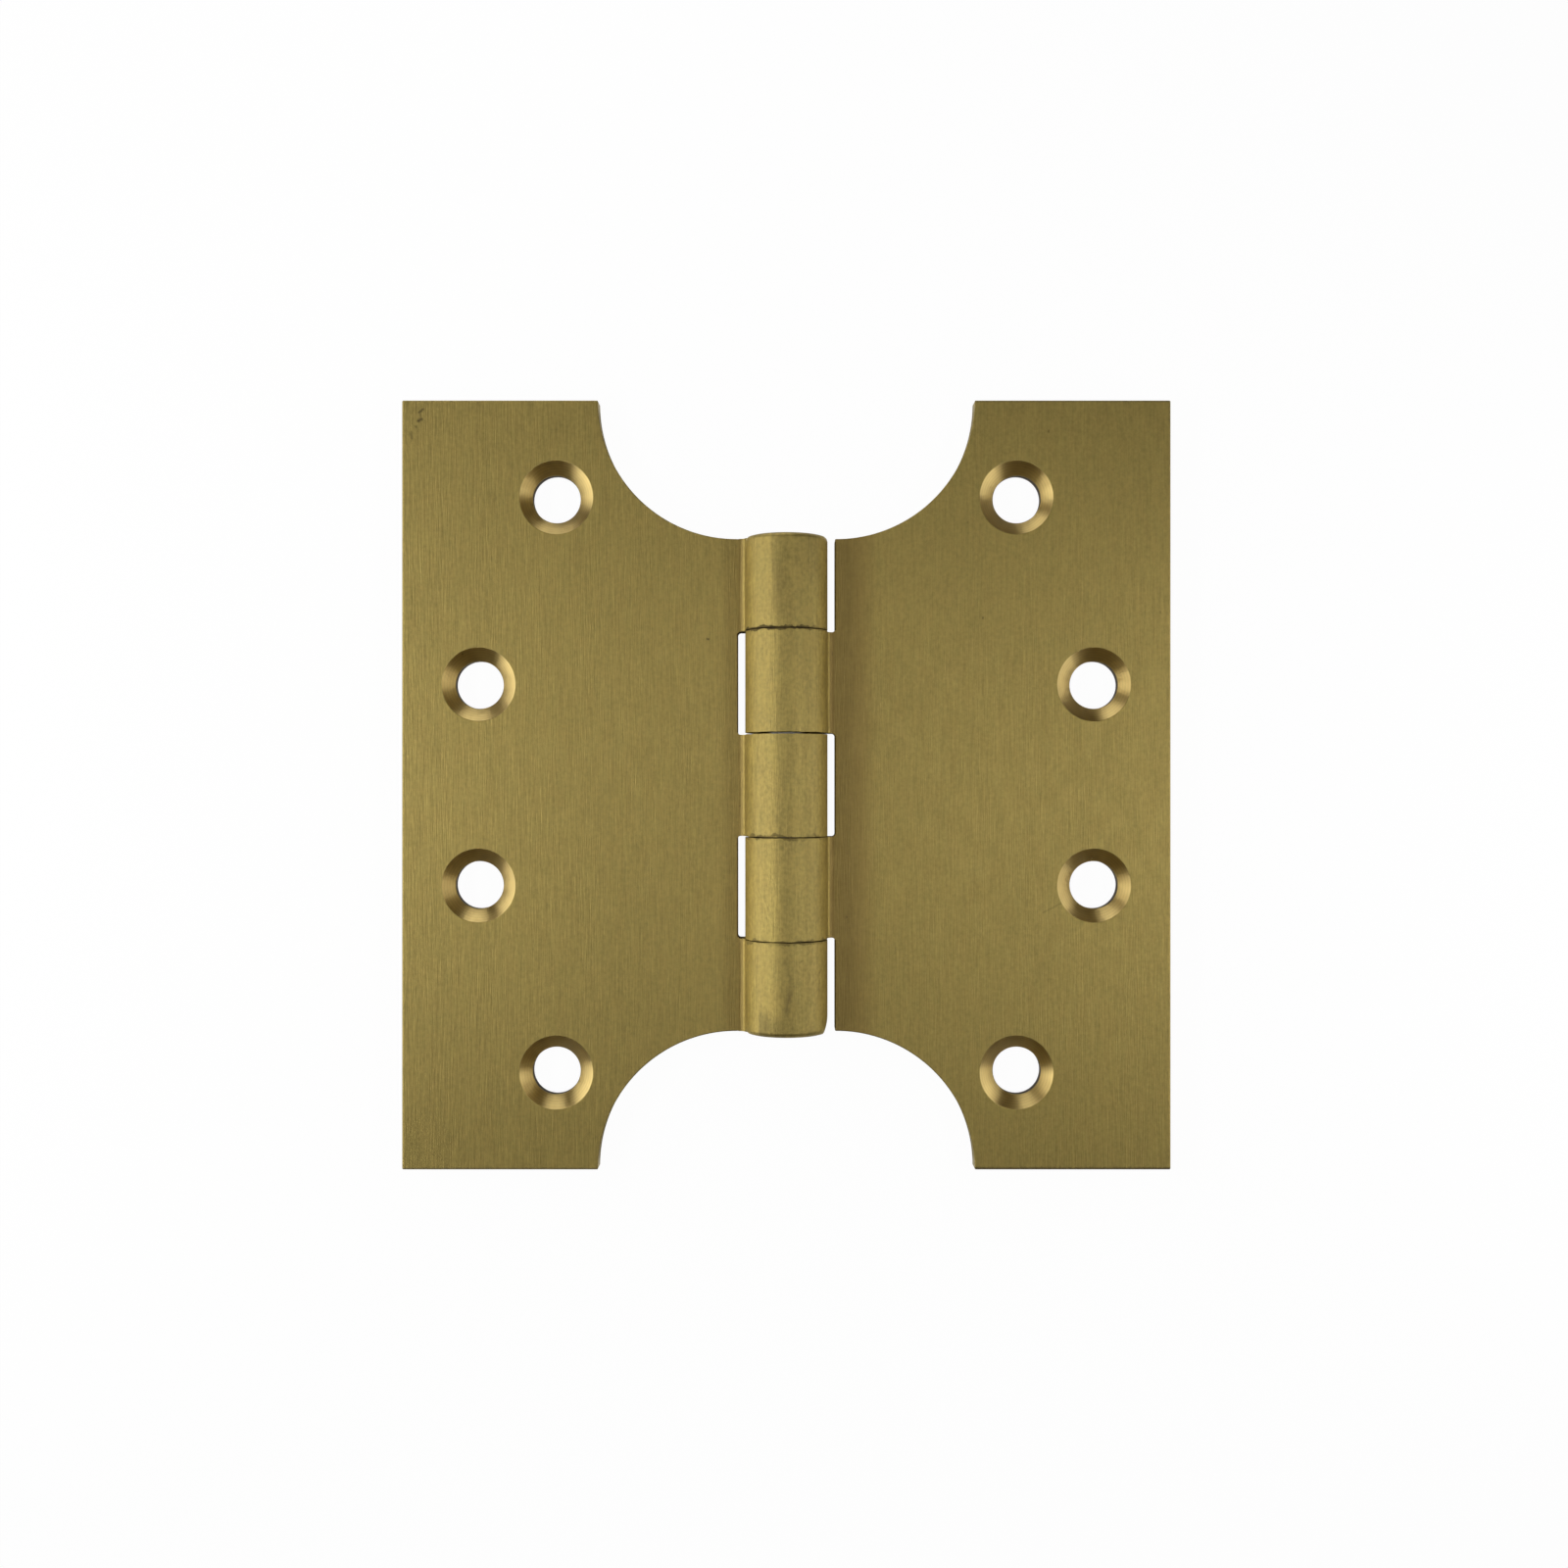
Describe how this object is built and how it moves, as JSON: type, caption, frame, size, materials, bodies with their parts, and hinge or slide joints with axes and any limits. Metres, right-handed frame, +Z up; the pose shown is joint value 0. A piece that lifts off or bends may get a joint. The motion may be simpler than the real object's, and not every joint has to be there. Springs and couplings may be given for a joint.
{
  "type": "parliament hinge",
  "caption": "Brass parliament hinge: two H-shaped leaves with countersunk screw holes, joined by interleaved knuckles on a fixed pin.",
  "frame": {"origin": "on the surface that the open hinge lies on, under the middle of the pin", "axes": "+Z up from that surface, towards the countersunk faces; +Y along the pin; +X from the pin to the right leaf"},
  "size_m": [0.1016, 0.1016, 0.0108],
  "materials": {
    "satin_brass": "satin, fine grain along the pin, unlacquered",
    "pin_steel": "turned"
  },
  "bodies": {
    "left": {"left_leaf": "satin_brass", "hinge_pin": "pin_steel"},
    "right": {"right_leaf": "satin_brass"}
  },
  "joints": [
    {"name": "fold", "type": "hinge", "parent": "left", "child": "right", "pos_m": [0, 0, 0.0054], "axis": [0, -1, 0], "range_deg": [-108, 180]}
  ]
}
